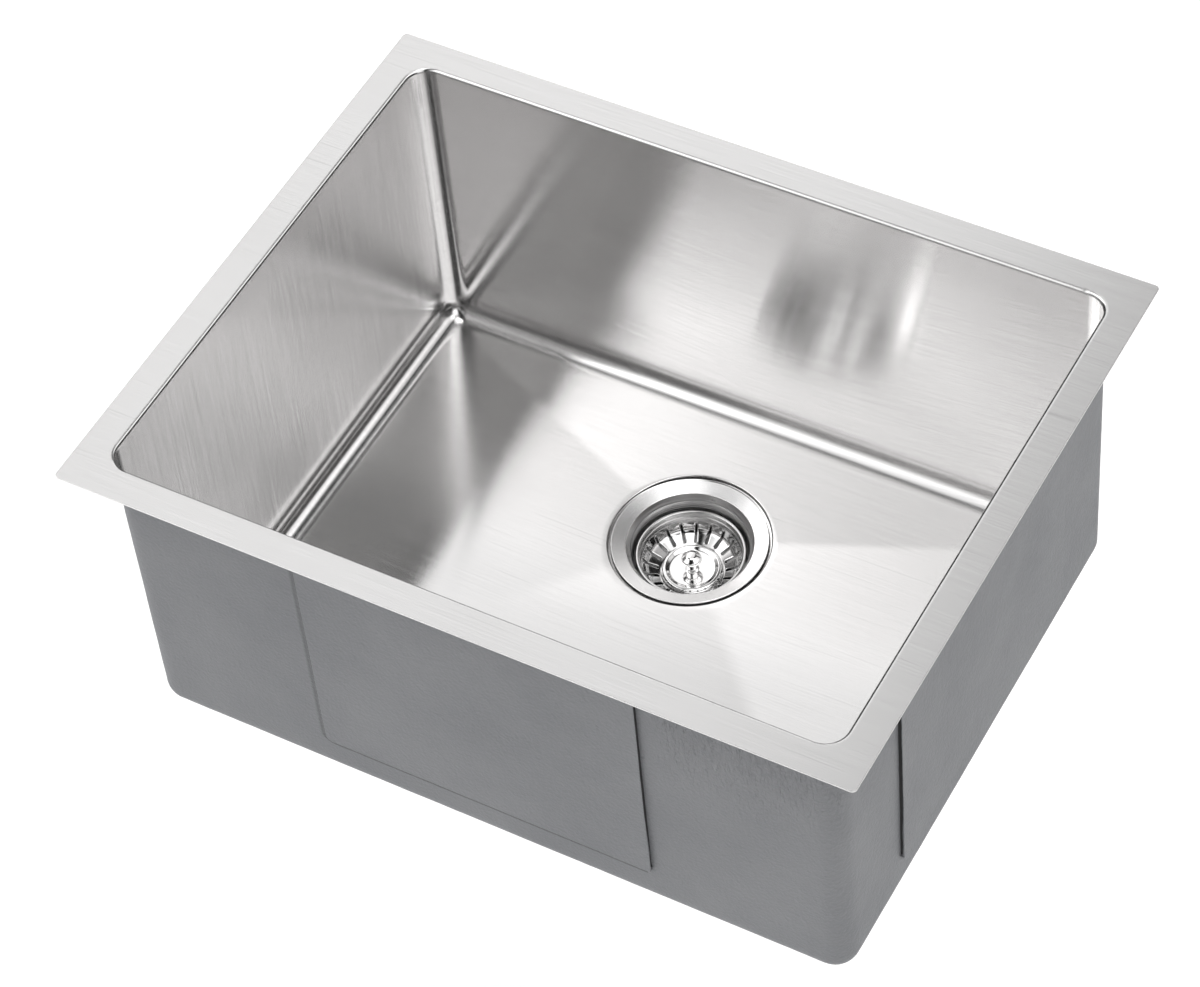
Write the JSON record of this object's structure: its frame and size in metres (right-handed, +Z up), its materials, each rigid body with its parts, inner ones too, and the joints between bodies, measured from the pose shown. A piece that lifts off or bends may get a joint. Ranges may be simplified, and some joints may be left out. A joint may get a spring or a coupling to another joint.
{
  "type": "undermount kitchen sink",
  "caption": "Rectangular undermount kitchen sink in brushed stainless steel with a flat mounting flange, coated outside, and a basket strainer offset to the back.",
  "frame": {"origin": "centre of the bowl opening, in the plane of the flange's top face, which meets the underside of the counter", "axes": "+X along the long side, +Y towards the long side that the drain is nearer to (the back), +Z up out of the bowl"},
  "size_m": [0.5842, 0.4572, 0.43],
  "materials": {
    "brushed_stainless": "satin brushed",
    "polished_stainless": "polished",
    "grey_coating": "sprayed, fine orange peel",
    "pad_rubber": "matt",
    "seal_rubber": "matt",
    "fibre_ring": "pressed fibre",
    "zinc_nut": "zinc plated",
    "nylon_washer": "satin",
    "chromed_tube": "chromed",
    "chromed_nut": "chromed",
    "stopper_rubber": "satin"
  },
  "bodies": {
    "sink": {"sink_bowl": "brushed_stainless", "undercoating": "grey_coating", "sound_pad_front": "pad_rubber", "sound_pad_right": "pad_rubber", "sound_pad_back": "pad_rubber", "sound_pad_left": "pad_rubber", "sound_pad_floor_front": "pad_rubber", "sound_pad_floor_left": "pad_rubber", "sound_pad_floor_right": "pad_rubber", "strainer_body": "polished_stainless", "strainer_crossbar": "polished_stainless", "flange_seal": "seal_rubber", "lower_gasket": "seal_rubber", "friction_ring": "fibre_ring", "locknut": "zinc_nut", "outlet_washer": "nylon_washer", "tailpiece": "chromed_tube", "coupling_nut": "chromed_nut"},
    "stem": {"stem_post": "polished_stainless", "rubber_stopper": "stopper_rubber", "stopper_washer": "polished_stainless", "stem_nut": "polished_stainless"},
    "basket": {"basket_cup": "polished_stainless", "basket_cap": "polished_stainless", "basket_knob": "polished_stainless"}
  },
  "joints": [
    {"name": "basket_lift", "type": "slide", "parent": "sink", "child": "stem", "axis": [0, 0, 1], "range_m": [0, 0.32]},
    {"name": "basket_spin", "type": "hinge", "parent": "stem", "child": "basket", "pos_m": [0, 0.0822, -0.285], "axis": [0, 0, 1], "continuous": true}
  ]
}
